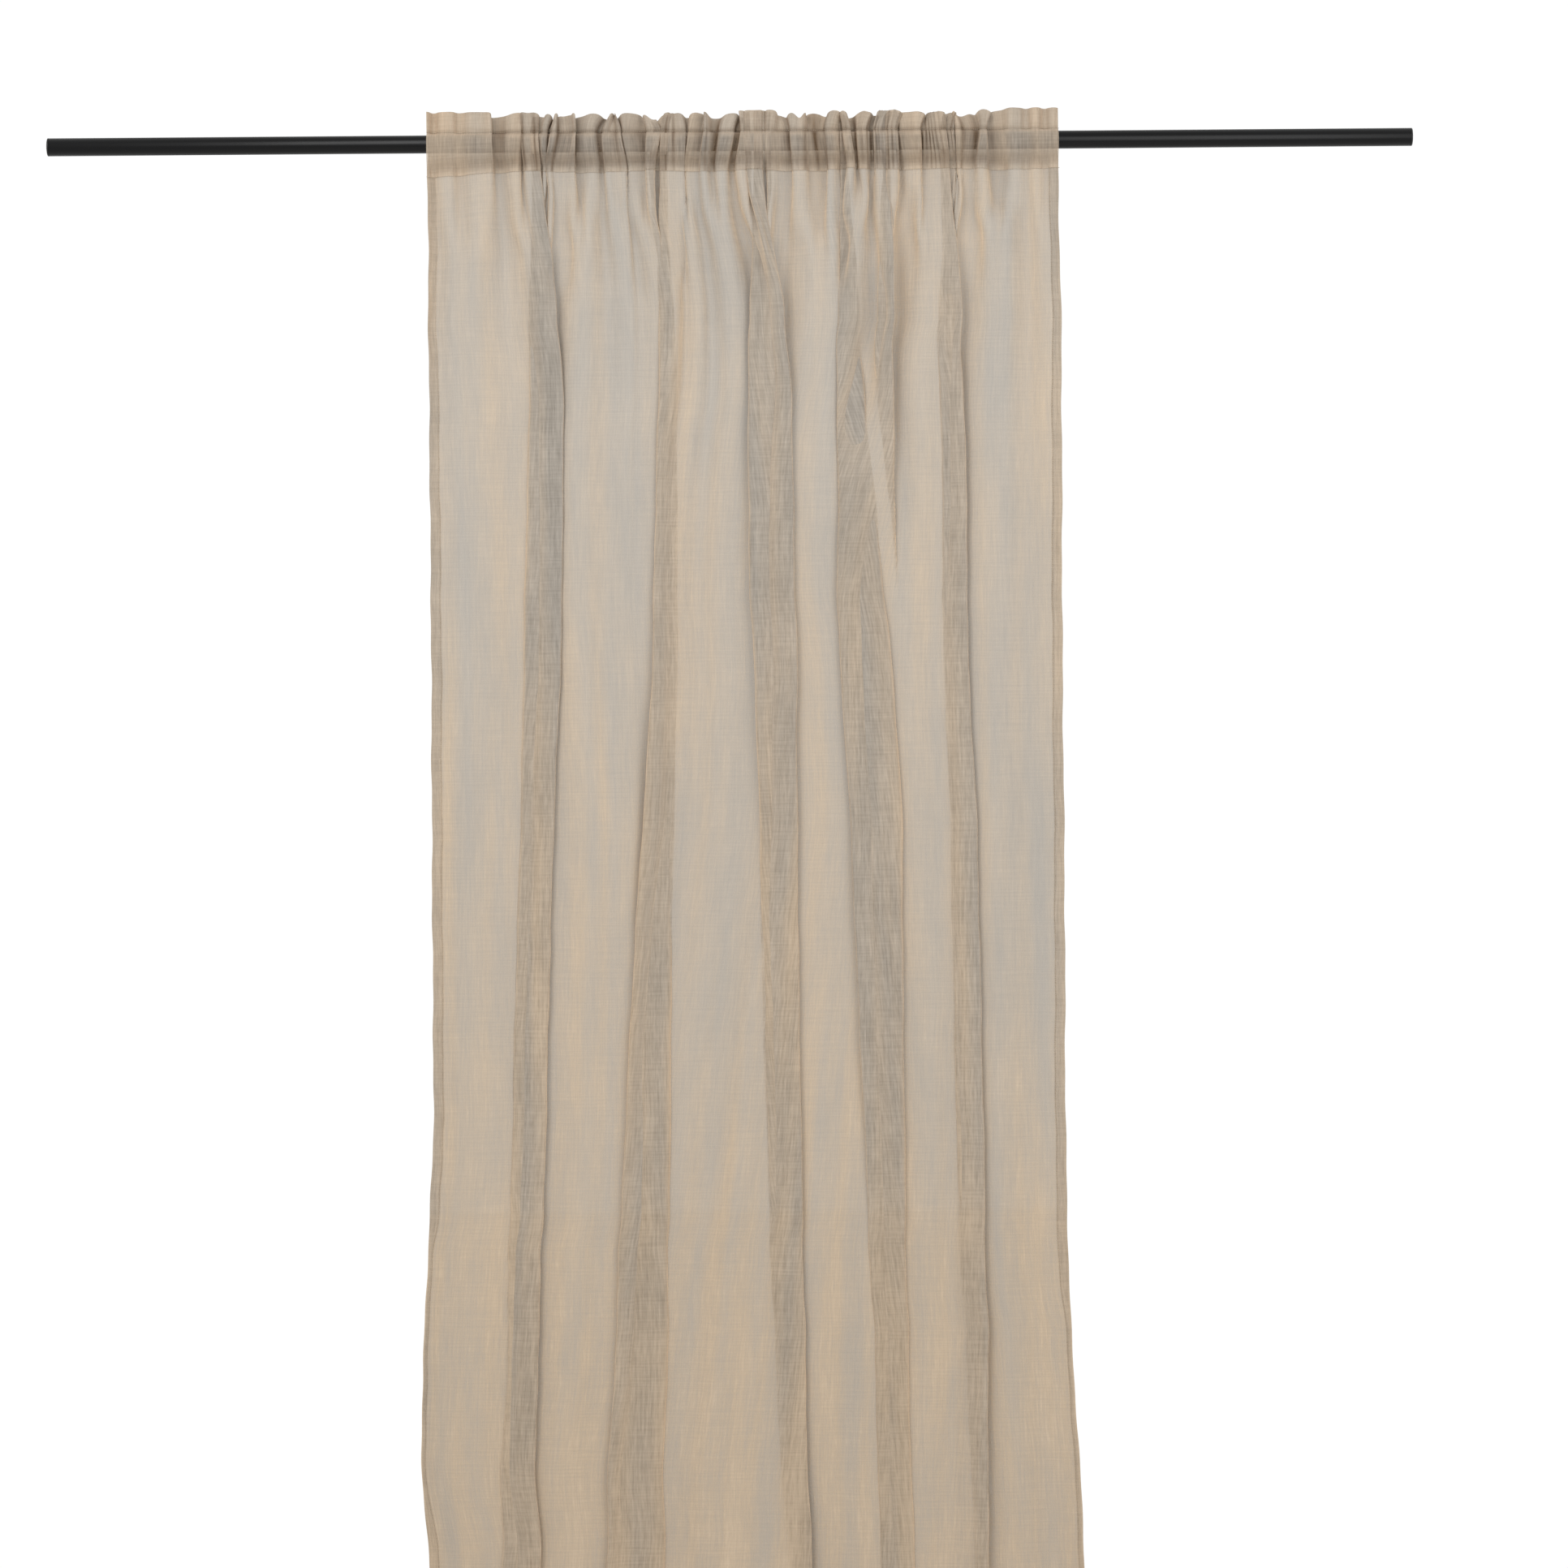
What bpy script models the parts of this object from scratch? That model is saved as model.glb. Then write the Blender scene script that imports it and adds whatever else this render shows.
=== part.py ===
"""A sheer linen-look curtain panel gathered on a straight steel rod.

The frame is metres with +Z up. +X runs along the rod and -Y faces the room. The origin is on the
rod's axis at its middle. The panel is one length of cloth that is turned over and sewn at the top,
so that a frill stands above the rod and a pocket holds it. Below the pocket the cloth hangs in
S-shaped folds. It is divided at the flats between its folds, because each fold slides along the rod
by its own share when the panel is drawn.
"""

import math

import bmesh
import bpy
from mathutils import Vector

# Rod
ROD_LENGTH = 1.910
ROD_DIAMETER = 0.025
ROD_WALL = 0.0012
ROD_SIDES = 32
PLUG_CAP = 0.0020
PLUG_STEM = 0.0120
PLUG_CHAMFER = 0.0005
PLUG_FIT = 0.0003

# Panel, as it hangs
PANEL_LEFT = -0.423
GATHERED_WIDTH = 0.880
FLARE = 0.020
FLAT_WIDTH = 1.520
PANEL_LENGTH = 2.500
FRILL_HEIGHT = 0.030
SEAM_ABOVE_ROD = 0.0032
POCKET_HEIGHT = 0.055
SIDE_HEM = 0.015
BOTTOM_HEM = 0.050

# Cloth and thread, thicker than the real ones so that they stay solid
CLOTH = 0.0020
HEM_CLOTH = 0.0030
THREAD = 0.0008
STITCH_IN = 0.0015
GAP = 0.0003

# Folds of the hanging cloth: place across the panel and share of the overlap, in left to right order,
# and how far each has drifted sideways at the bottom edge
FOLD_PLACES = (0.172, 0.361, 0.547, 0.703, 0.842)
FOLD_SHARES = (0.20, 0.18, 0.21, 0.27, 0.14)
FOLD_DRIFTS = (-0.040, -0.045, 0.020, 0.020, 0.020)
FOLD_RADIUS = 0.004
FOLD_START = 0.350

# Gathers of the heading
WAVES = 14
WAVE_DEPTH = 0.0045
WAVE_STEPS = 4
END_FLAT = 0.080
POCKET_PUFF = 0.0060

# Steps of the cloth grid
FLAT_STEPS = 2
TURN_STEPS = 4
RETURN_STEPS = 2
DROP_DEPTHS = (0.0, 0.05, 0.12, 0.22, 0.35, 0.80, 1.30, 1.85)
POCKET_ANGLES = (125, 155, 185, 215)

ROD_RADIUS = ROD_DIAMETER / 2
PANEL_RIGHT = PANEL_LEFT + GATHERED_WIDTH
TOP_SEAM_Z = ROD_RADIUS + SEAM_ABOVE_ROD
POCKET_SEAM_Z = TOP_SEAM_Z - POCKET_HEIGHT
TOP_Z = TOP_SEAM_Z + FRILL_HEIGHT
BOTTOM_Z = TOP_Z - PANEL_LENGTH
BOTTOM_HEM_Z = BOTTOM_Z + BOTTOM_HEM
DROP_TOP_Z = POCKET_SEAM_Z - GAP
BAYS = len(FOLD_PLACES)

LINEN = ("linen", (0.560, 0.490, 0.405), 0.90, 0.0)
LINEN_DOUBLE = ("linen_double", (0.460, 0.390, 0.305), 0.90, 0.0)
SEWING_THREAD = ("sewing_thread", (0.520, 0.440, 0.350), 0.75, 0.0)
BLACK_COAT = ("black_powder_coat", (0.012, 0.012, 0.013), 0.38, 0.0)
BLACK_PLASTIC = ("black_plastic", (0.010, 0.010, 0.010), 0.45, 0.0)


def clear_scene():
    for old in list(bpy.data.objects):
        bpy.data.objects.remove(old, do_unlink=True)


def finish(look):
    """The material of this look, made once."""
    name, colour, roughness, metallic = look
    made = bpy.data.materials.get(name)
    if made is None:
        made = bpy.data.materials.new(name)
        made.use_nodes = True
        shader = made.node_tree.nodes["Principled BSDF"]
        shader.inputs["Base Color"].default_value = (*colour, 1.0)
        shader.inputs["Roughness"].default_value = roughness
        shader.inputs["Metallic"].default_value = metallic
    return made


def carrier(name, x):
    """An empty on the rod's axis, which carries the pieces that slide together."""
    empty = bpy.data.objects.new(name, None)
    empty.location = (x, 0, 0)
    bpy.context.scene.collection.objects.link(empty)
    return empty


def add_piece(name, points, faces, look, parent):
    """A closed mesh object whose origin is its carrier's."""
    mesh = bpy.data.meshes.new(name)
    mesh.from_pydata([Vector(p) - parent.location for p in points], [], faces)
    shape = bmesh.new()
    shape.from_mesh(mesh)
    bmesh.ops.recalc_face_normals(shape, faces=shape.faces)
    shape.to_mesh(mesh)
    shape.free()
    mesh.materials.append(finish(look))
    piece = bpy.data.objects.new(name, mesh)
    piece.parent = parent
    bpy.context.scene.collection.objects.link(piece)
    return piece


def turned(name, profile, look, parent, bored=False):
    """A solid turned about the rod's axis from (x, radius) points. A bored one is a closed loop."""
    points = []
    for x, radius in profile:
        for side in range(ROD_SIDES):
            angle = 2 * math.pi * side / ROD_SIDES
            points.append((x, radius * math.cos(angle), radius * math.sin(angle)))
    faces = []
    for ring in range(len(profile) if bored else len(profile) - 1):
        here, there = ring * ROD_SIDES, (ring + 1) % len(profile) * ROD_SIDES
        for side in range(ROD_SIDES):
            after = (side + 1) % ROD_SIDES
            faces.append((here + side, here + after, there + after, there + side))
    if not bored:
        faces.append(tuple(range(ROD_SIDES)))
        last = (len(profile) - 1) * ROD_SIDES
        faces.append(tuple(last + side for side in reversed(range(ROD_SIDES))))
    piece = add_piece(name, points, faces, look, parent)
    piece.data.shade_smooth()
    piece.data.set_sharp_from_angle(angle=math.radians(35))
    return piece


def slab(name, rows, thickness, look, parent):
    """A sheet of this thickness about a grid of (point, normal) rows."""
    half = thickness / 2
    skins = [[point + normal * offset for row in rows for point, normal in row] for offset in (-half, half)]
    count, across = len(skins[0]), len(rows[0])
    faces = []
    for r in range(len(rows) - 1):
        for c in range(across - 1):
            a = r * across + c
            quad = (a, a + 1, a + across + 1, a + across)
            faces.append(quad)
            faces.append(tuple(count + i for i in reversed(quad)))
    first, last = 0, (len(rows) - 1) * across
    rim = [first + c for c in range(across)]
    rim += [r * across + across - 1 for r in range(1, len(rows))]
    rim += [last + c for c in reversed(range(across - 1))]
    rim += [r * across for r in reversed(range(1, len(rows) - 1))]
    for i, here in enumerate(rim):
        there = rim[(i + 1) % len(rim)]
        faces.append((here, count + here, count + there, there))
    return add_piece(name, skins[0] + skins[1], faces, look, parent)


def stitching(name, line, cloth, parent):
    """A thread on the front of cloth of this thickness, along (point, normal) pairs."""
    out = cloth / 2 + GAP + THREAD / 2
    points = []
    for i, (point, normal) in enumerate(line):
        before, after = line[max(i - 1, 0)][0], line[min(i + 1, len(line) - 1)][0]
        along = (after - before).normalized()
        across = normal.cross(along).normalized()
        middle = point - normal * out
        for y, z in ((1, 0), (0, 1), (-1, 0), (0, -1)):
            points.append(middle + (normal * y + across * z) * (THREAD / 2))
    faces = [(0, 1, 2, 3), tuple(len(points) - 4 + i for i in (3, 2, 1, 0))]
    for i in range(0, len(points) - 4, 4):
        for side in range(4):
            after = (side + 1) % 4
            faces.append((i + side, i + after, i + 4 + after, i + 4 + side))
    return add_piece(name, points, faces, SEWING_THREAD, parent)


def smooth(share):
    share = min(max(share, 0.0), 1.0)
    return share * share * (3 - 2 * share)


def wave(x):
    """How far behind the rod's axis the gathered cloth is at x, and which way it runs there."""
    calm = smooth((x - PANEL_LEFT) / END_FLAT - 0.4) * smooth((PANEL_RIGHT - x) / END_FLAT - 0.4)
    turn = 2 * math.pi * WAVES / GATHERED_WIDTH
    angle = turn * (x - PANEL_LEFT)
    y = WAVE_DEPTH * calm * math.sin(angle)
    return y, math.atan(WAVE_DEPTH * calm * turn * math.cos(angle))


def backwards(heading):
    """The cloth's normal, away from the room, where it runs at this angle from +X."""
    return Vector((-math.sin(heading), math.cos(heading), 0))


def fold_runs(depth):
    """The panel's edges, the folds' centres and their overlaps at a depth below the pocket."""
    low = (depth / (DROP_TOP_Z - BOTTOM_Z)) ** 2
    left, right = PANEL_LEFT - FLARE * low, PANEL_RIGHT + FLARE * low
    turning = 2 * (math.pi - 2) * FOLD_RADIUS * BAYS
    overlap = (FLAT_WIDTH - (right - left) - turning) / 2
    places = zip(FOLD_PLACES, FOLD_DRIFTS)
    centres = [PANEL_LEFT + place * GATHERED_WIDTH + drift * low for place, drift in places]
    return left, right, centres, [share * overlap for share in FOLD_SHARES]


def run(start, stop, y, heading, steps):
    """A straight run of cloth in the line of the panel, as (x, y, heading) points."""
    return [(start + (stop - start) * i / steps, y, heading) for i in range(steps + 1)]


def turn(x, y, heading, side):
    """A half turn of the cloth about (x, y), from one heading to the opposite one."""
    points = []
    for i in range(TURN_STEPS + 1):
        now = heading + side * math.pi * i / TURN_STEPS
        points.append((x + side * math.sin(now) * FOLD_RADIUS, y - side * math.cos(now) * FOLD_RADIUS, now))
    return points


def hanging_line(depth):
    """The cloth's line at a depth below the pocket: left hem, one bay for each fold, right hem."""
    left, right, centres, widths = fold_runs(depth)
    flats = [left + SIDE_HEM + GAP]
    for k in range(BAYS - 1):
        flats.append((centres[k] + widths[k] / 2 + centres[k + 1] - widths[k + 1] / 2) / 2)
    flats.append(right - SIDE_HEM - GAP)
    y, r = -2 * FOLD_RADIUS, FOLD_RADIUS
    line = [run(left, left + SIDE_HEM, y, 0.0, 1)]
    for k, (centre, width) in enumerate(zip(centres, widths)):
        side = 1 if k % 2 == 0 else -1
        ahead, behind = centre + width / 2 - r, centre - width / 2 + r
        start = flats[k] + (GAP / 2 if k else 0)
        stop = flats[k + 1] - (GAP / 2 if k + 1 < BAYS else 0)
        bay = run(start, ahead, y, 0.0, FLAT_STEPS)[:-1]
        bay += turn(ahead, y + side * r, 0.0, side)
        bay += run(ahead, behind, y + side * 2 * r, side * math.pi, RETURN_STEPS)[1:-1]
        bay += turn(behind, y + side * 3 * r, side * math.pi, -side)
        y += side * 4 * r
        bay += run(behind, stop, y, 0.0, FLAT_STEPS)[1:]
        line.append(bay)
    line.append(run(right - SIDE_HEM, right, y, 0.0, 1))
    return line


def bay_edges():
    """Where the gathered heading is divided: at the wave's crest nearest to the middle of each flat."""
    _, _, centres, widths = fold_runs(0)
    half_wave = GATHERED_WIDTH / WAVES / 2
    edges = [PANEL_LEFT]
    for k in range(BAYS - 1):
        middle = (centres[k] + widths[k] / 2 + centres[k + 1] - widths[k + 1] / 2) / 2
        edges.append(PANEL_LEFT + (round((middle - PANEL_LEFT) / half_wave - 0.5) + 0.5) * half_wave)
    return edges + [PANEL_RIGHT]


def hanging_rows(heights):
    """Rows of (point, normal) for each part of the cloth, from the pocket's gathers to the folds."""
    edges = bay_edges()
    lows = [PANEL_LEFT, PANEL_LEFT + SIDE_HEM + GAP] + [edge + GAP / 2 for edge in edges[1:-1]]
    highs = [PANEL_LEFT + SIDE_HEM] + [edge - GAP / 2 for edge in edges[1:-1]]
    lows.append(PANEL_RIGHT - SIDE_HEM)
    highs += [PANEL_RIGHT - SIDE_HEM - GAP, PANEL_RIGHT]
    parts = [[] for _ in lows]
    for z in heights:
        depth = DROP_TOP_Z - z
        folded = smooth(depth / FOLD_START)
        for b, part in enumerate(hanging_line(depth)):
            steps = [math.dist(p[:2], q[:2]) for p, q in zip(part, part[1:])]
            row, walked = [], 0.0
            for (x, y, heading), step in zip(part, steps + [0.0]):
                top_x = lows[b] + (highs[b] - lows[b]) * walked / sum(steps)
                top_y, top_heading = wave(top_x)
                point = Vector((top_x, top_y, z)).lerp(Vector((x, y, z)), folded)
                row.append((point, backwards(top_heading + (heading - top_heading) * folded)))
                walked += step
            parts[b].append(row)
    return parts


def heading_columns(bay):
    """The x of each column of the heading over one bay."""
    edges = bay_edges()
    low = edges[bay] + (GAP / 2 if bay else 0)
    high = edges[bay + 1] - (GAP / 2 if bay + 1 < BAYS else 0)
    steps = max(2, round((high - low) * WAVES * WAVE_STEPS / GATHERED_WIDTH))
    return [low + (high - low) * i / steps for i in range(steps + 1)]


def seam_line(columns, z, offset=0.0, sway=1.0):
    """The gathered cloth's line at a seam, moved towards the wall by offset."""
    line = []
    for x in columns:
        y, heading = wave(x)
        normal = backwards(heading)
        line.append((Vector((x, y * sway, z)) + normal * offset, normal))
    return line


def pocket_wall(columns, side):
    """Rows of one wall of the rod pocket: side is -1 in front of the rod and 1 behind it."""
    offset = side * (CLOTH + GAP) / 2
    rows = [seam_line(columns, TOP_SEAM_Z, offset)]
    spread = math.radians(POCKET_ANGLES[1] - POCKET_ANGLES[0]) / 2
    clear = (ROD_RADIUS + GAP + CLOTH / 2) / math.cos(spread)
    for angle in map(math.radians, POCKET_ANGLES):
        out = Vector((0, -side * math.cos(angle), math.sin(angle)))
        row = []
        for x in columns:
            puff = POCKET_PUFF * (0.5 + 0.5 * side * wave(x)[0] / WAVE_DEPTH)
            row.append((Vector((x, 0, 0)) + out * (clear + puff * abs(math.cos(angle))), out * side))
        rows.append(row)
    rows.append(seam_line(columns, POCKET_SEAM_Z, offset))
    return rows


def make_rod(parent):
    bore = ROD_RADIUS - ROD_WALL
    half = ROD_LENGTH / 2 - PLUG_CAP - GAP
    tube = [(-half, bore), (-half, ROD_RADIUS), (half, ROD_RADIUS), (half, bore)]
    turned("rod_tube", tube, BLACK_COAT, parent, bored=True)
    stem = bore - PLUG_FIT
    cap = [
        (0, ROD_RADIUS - PLUG_CHAMFER),
        (PLUG_CHAMFER, ROD_RADIUS),
        (PLUG_CAP, ROD_RADIUS),
        (PLUG_CAP, stem),
        (PLUG_CAP + PLUG_STEM, stem),
    ]
    for name, side in (("left", -1), ("right", 1)):
        profile = [(side * (ROD_LENGTH / 2 - depth), radius) for depth, radius in cap]
        turned(f"rod_plug_{name}", profile, BLACK_PLASTIC, parent)


def make_heading(carriers):
    for bay, parent in enumerate(carriers):
        columns = heading_columns(bay)
        number = bay + 1
        low, high = TOP_SEAM_Z + GAP, TOP_Z
        frill = [
            seam_line(columns, low),
            seam_line(columns, (low + high) / 2, sway=1.3),
            seam_line(columns, high, sway=1.6),
        ]
        slab(f"frill_{number}", frill, HEM_CLOTH, LINEN_DOUBLE, parent)
        slab(f"pocket_front_{number}", pocket_wall(columns, -1), CLOTH, LINEN_DOUBLE, parent)
        slab(f"pocket_back_{number}", pocket_wall(columns, 1), CLOTH, LINEN_DOUBLE, parent)
        stitches = seam_line(columns, low + STITCH_IN)
        stitching(f"frill_stitching_{number}", stitches, HEM_CLOTH, parent)


def make_hanging_cloth(carriers):
    drop_heights = [DROP_TOP_Z - depth for depth in DROP_DEPTHS] + [BOTTOM_HEM_Z + GAP]
    hem_heights = [BOTTOM_HEM_Z, BOTTOM_Z]
    drop, hem = hanging_rows(drop_heights), hanging_rows(hem_heights)
    pocket_stitches = hanging_rows([DROP_TOP_Z - STITCH_IN])
    hem_stitches = hanging_rows([BOTTOM_HEM_Z - STITCH_IN])
    for bay, parent in enumerate(carriers):
        number = bay + 1
        slab(f"drop_{number}", drop[number], CLOTH, LINEN, parent)
        stitching(f"pocket_stitching_{number}", pocket_stitches[number][0], CLOTH, parent)
        slab(f"bottom_hem_{number}", hem[number], HEM_CLOTH, LINEN_DOUBLE, parent)
        stitching(f"bottom_stitching_{number}", hem_stitches[number][0], HEM_CLOTH, parent)
    inset = STITCH_IN / SIDE_HEM
    edges = (("left", 0, carriers[0], 1 - inset), ("right", -1, carriers[-1], inset))
    for name, part, parent, across in edges:
        rows = drop[part] + hem[part]
        slab(f"side_hem_{name}", rows, HEM_CLOTH, LINEN_DOUBLE, parent)
        stitches = [(row[0][0].lerp(row[1][0], across), row[0][1]) for row in drop[part]]
        stitching(f"side_stitching_{name}", stitches, HEM_CLOTH, parent)


def main():
    clear_scene()
    make_rod(carrier("rod", 0.0))
    edges = bay_edges()
    names = ["trailing_edge"] + [f"fold_{k}" for k in range(2, BAYS)] + ["leading_edge"]
    places = [edges[0]] + [(edges[k] + edges[k + 1]) / 2 for k in range(1, BAYS - 1)] + [edges[-1]]
    carriers = [carrier(name, x) for name, x in zip(names, places)]
    bpy.context.view_layer.update()
    make_heading(carriers)
    make_hanging_cloth(carriers)


main()
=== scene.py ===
import math

import bpy
import numpy as np
from mathutils import Matrix, Vector


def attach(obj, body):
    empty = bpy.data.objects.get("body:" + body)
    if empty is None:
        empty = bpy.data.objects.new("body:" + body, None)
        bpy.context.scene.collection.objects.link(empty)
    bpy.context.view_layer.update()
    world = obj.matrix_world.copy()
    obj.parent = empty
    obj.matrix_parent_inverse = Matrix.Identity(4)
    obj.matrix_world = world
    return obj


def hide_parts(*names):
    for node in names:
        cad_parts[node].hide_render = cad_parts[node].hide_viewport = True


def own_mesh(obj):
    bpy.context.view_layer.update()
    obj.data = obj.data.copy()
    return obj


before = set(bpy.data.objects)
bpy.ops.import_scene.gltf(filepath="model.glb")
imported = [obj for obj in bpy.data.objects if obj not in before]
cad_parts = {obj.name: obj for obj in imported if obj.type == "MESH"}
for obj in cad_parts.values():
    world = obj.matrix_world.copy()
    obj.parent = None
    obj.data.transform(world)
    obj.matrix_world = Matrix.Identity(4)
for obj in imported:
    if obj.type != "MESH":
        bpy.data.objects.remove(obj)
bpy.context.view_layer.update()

# ---- Shape of the cloth ----
# One loom width of sheer linen-look cloth, gathered on the rod and hanging in a few long folds.
# Its line at any height is walked along the cloth itself, so that no height stretches it.
WIDTH = 1.520
POCKET_SEAM_Z = -0.0393
TOP_SEAM_Z = 0.0157
FRILL_TOP_Z = 0.0450
FOOT_Z = -2.4540
SIDE_HEM = 0.015
FOOT_HEM = 0.050
PLEAT = 0.045
STEP = 0.0005
ALONG = np.arange(0, WIDTH + STEP / 2, STEP)

# Height, then where the panel's left and right edges hang.
EDGES = (
    (-0.04, -0.423, 0.459),
    (-0.26, -0.4235, 0.4626),
    (-0.71, -0.4236, 0.4602),
    (-1.05, -0.4252, 0.4609),
    (-1.39, -0.4256, 0.4593),
    (-1.62, -0.4400, 0.4631),
    (-1.85, -0.4496, 0.4762),
    (-2.00, -0.4345, 0.4830),
    (-2.45, -0.4400, 0.4850),
)
# Each long fold: which way it is turned, the softness of its right and left turns,
# and (height, middle, overlap) down its length.
FOLDS = (
    (1, 0.011, 0.040, (
        (-0.04, -0.270, 0.014), (-0.13, -0.272, 0.038), (-0.335, -0.260, 0.058),
        (-0.733, -0.270, 0.064), (-0.937, -0.2785, 0.058), (-1.448, -0.296, 0.060),
        (-1.73, -0.306, 0.062), (-2.0, -0.312, 0.080), (-2.45, -0.318, 0.085))),
    (-1, 0.044, 0.012, (
        (-0.04, -0.092, 0.012), (-0.13, -0.089, 0.024), (-0.335, -0.088, 0.032),
        (-0.733, -0.094, 0.044), (-0.937, -0.1055, 0.055), (-1.448, -0.1245, 0.085),
        (-1.73, -0.1345, 0.105), (-2.0, -0.1465, 0.118), (-2.45, -0.150, 0.120))),
    (1, 0.011, 0.048, (
        (-0.04, 0.040, 0.012), (-0.13, 0.041, 0.038), (-0.335, 0.052, 0.070),
        (-0.733, 0.056, 0.070), (-0.937, 0.059, 0.062), (-1.448, 0.0645, 0.059),
        (-1.73, 0.0705, 0.058), (-2.0, 0.0835, 0.049), (-2.45, 0.088, 0.045))),
    (-1, 0.042, 0.012, (
        (-0.04, 0.158, 0.012), (-0.13, 0.160, 0.030), (-0.335, 0.167, 0.042),
        (-0.54, 0.178, 0.062), (-0.733, 0.187, 0.084), (-0.937, 0.200, 0.086),
        (-1.448, 0.2085, 0.066), (-1.73, 0.215, 0.064), (-2.0, 0.2225, 0.070), (-2.45, 0.225, 0.060))),
    (1, 0.013, 0.030, (
        (-0.04, 0.218, 0.012), (-0.13, 0.216, 0.028), (-0.335, 0.214, 0.032),
        (-0.50, 0.222, 0.010), (-0.62, 0.235, 0.0), (-2.45, 0.262, 0.0))),
    (1, 0.011, 0.034, (
        (-0.04, 0.300, 0.014), (-0.13, 0.302, 0.034), (-0.335, 0.308, 0.038),
        (-0.733, 0.311, 0.040), (-0.937, 0.320, 0.044), (-1.448, 0.325, 0.048),
        (-1.73, 0.333, 0.042), (-2.0, 0.3385, 0.028), (-2.45, 0.342, 0.026))),
)


def smooth(v):
    """Eases from 0 to 1 as v goes from 0 to 1."""
    v = np.clip(v, 0.0, 1.0)
    return v * v * (3 - 2 * v)


def averaged(line, count):
    """The running average over an odd count of values."""
    return np.convolve(np.pad(line, count // 2, mode="edge"), np.full(count, 1 / count), mode="valid")


def track(table, column):
    """A smooth function of height through one column of a table."""
    grid = np.arange(-2.7, 0.3, 0.01)
    rows = sorted(table)
    line = np.interp(grid, [r[0] for r in rows], [r[column] for r in rows])
    for _ in range(2):
        line = averaged(line, 11)
    return lambda z: float(np.interp(z, grid, line))


def wander(size, spread, seed):
    """Smooth random values along the cloth, about zero."""
    rng = np.random.default_rng(seed)
    knots = np.arange(-size, WIDTH + 2 * size, size)
    rough = np.interp(ALONG, knots, rng.uniform(-1, 1, len(knots)))
    return spread * averaged(rough, max(3, int(size / STEP / 2) | 1))


left_edge, right_edge = track(EDGES, 1), track(EDGES, 2)
fold_middles = [track(fold[3], 1) for fold in FOLDS]
fold_overlaps = [track(fold[3], 2) for fold in FOLDS]

# The heading's pleats start at even spacing, with a few drawn tighter, and reach down unevenly.
TIGHT_PLEATS = (0.245, 0.292, 0.325, 0.41, 0.865, 0.975, 1.07, 1.21, 1.30)
gather_phase = 2 * math.pi * np.cumsum(STEP / (PLEAT * (1 + wander(0.07, 0.9, 3)))) + 0.4
gather_size = 1 + wander(0.035, 0.45, 5)
for place in TIGHT_PLEATS:
    gather_size += 0.22 * np.exp(-(((ALONG - place) / 0.014) ** 2))
gather_reach = 0.16 * np.exp(wander(0.045, 1.0, 8))
gather_calm = smooth((ALONG - 0.080) / 0.05) * smooth((WIDTH - 0.070 - ALONG) / 0.05)
pleats = np.sin(gather_phase - 0.5 * np.sin(gather_phase))
ripples = (1 + wander(0.06, 0.8, 15)) * np.sin(gather_phase / 2 + 1.3)
broad = wander(0.12, 0.45, 21)
broad_low = wander(0.10, 0.50, 22)

FOLD_TURN = math.radians(171)
ROLL, ROLL_PLACE, ROLL_SIZE = 0.34, 0.028, 0.020


def walk(z, gather, centres, overlaps):
    """The cloth's bearing and its line where it hangs at z. The gather may vary along the cloth."""
    depth = POCKET_SEAM_Z - z
    fade = 0.06 + 0.94 * np.exp(-max(depth, 0.0) / gather_reach)
    rippled = float(smooth(depth / 0.16)) * (1 - 0.35 * float(smooth((depth - 0.3) / 1.2)))
    gathers = gather_size * fade * pleats + 0.95 * rippled * ripples
    fallen = float(smooth(depth / 0.24))
    quiet = np.ones_like(ALONG)
    folded = np.zeros_like(ALONG)
    for (side, right_turn, left_turn, _), centre, overlap in zip(FOLDS, centres, overlaps):
        first, last = centre - overlap / 2, centre + overlap / 2
        right_turn, left_turn = (min(turn, 0.004 + 0.5 * overlap) for turn in (right_turn, left_turn))
        into = smooth((ALONG - first) / right_turn + 0.5)
        out = smooth((ALONG - last) / left_turn + 0.5)
        folded += side * FOLD_TURN * (into - out)
        rolled = ROLL * fallen * float(smooth(overlap / 0.03))
        folded -= side * rolled * np.exp(-(((ALONG - first + ROLL_PLACE + right_turn / 2) / ROLL_SIZE) ** 2))
        folded -= side * rolled * np.exp(-(((ALONG - last - ROLL_PLACE - left_turn / 2) / ROLL_SIZE) ** 2))
        quiet = np.minimum(quiet, 1 - 0.85 * smooth(overlap / 0.02) * (into - out))
    bearing = gather * gathers * quiet + folded
    bearing += fallen * (broad * math.cos(0.9 * z) + broad_low * math.sin(-0.8 * z)) * quiet
    curl_left = -1.25 * float(smooth((depth - 1.44) / 0.08) * smooth((1.93 - depth) / 0.10))
    curl_right = 1.30 * float(smooth((depth - 1.50) / 0.14))
    bearing += curl_left * smooth((0.013 - ALONG) / 0.008)
    bearing += curl_right * smooth((ALONG - WIDTH + 0.014) / 0.008)
    x = np.concatenate([[0.0], np.cumsum(np.cos(bearing[:-1]) * STEP)])
    y = np.concatenate([[0.0], np.cumsum(np.sin(bearing[:-1]) * STEP)])
    return bearing, x, y


# How much the cloth always gathers, even where it hangs flattest.
LEAST = 0.20


def walk_slack(z, slack, centres):
    """The line for a measure of slack: above zero the cloth gathers more, below it the folds overlap less."""
    overlaps = [overlap(z) * (1 + min(slack, 0.0)) for overlap in fold_overlaps]
    return (*walk(z, LEAST + max(slack, 0.0), centres, overlaps), centres, overlaps)


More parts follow.
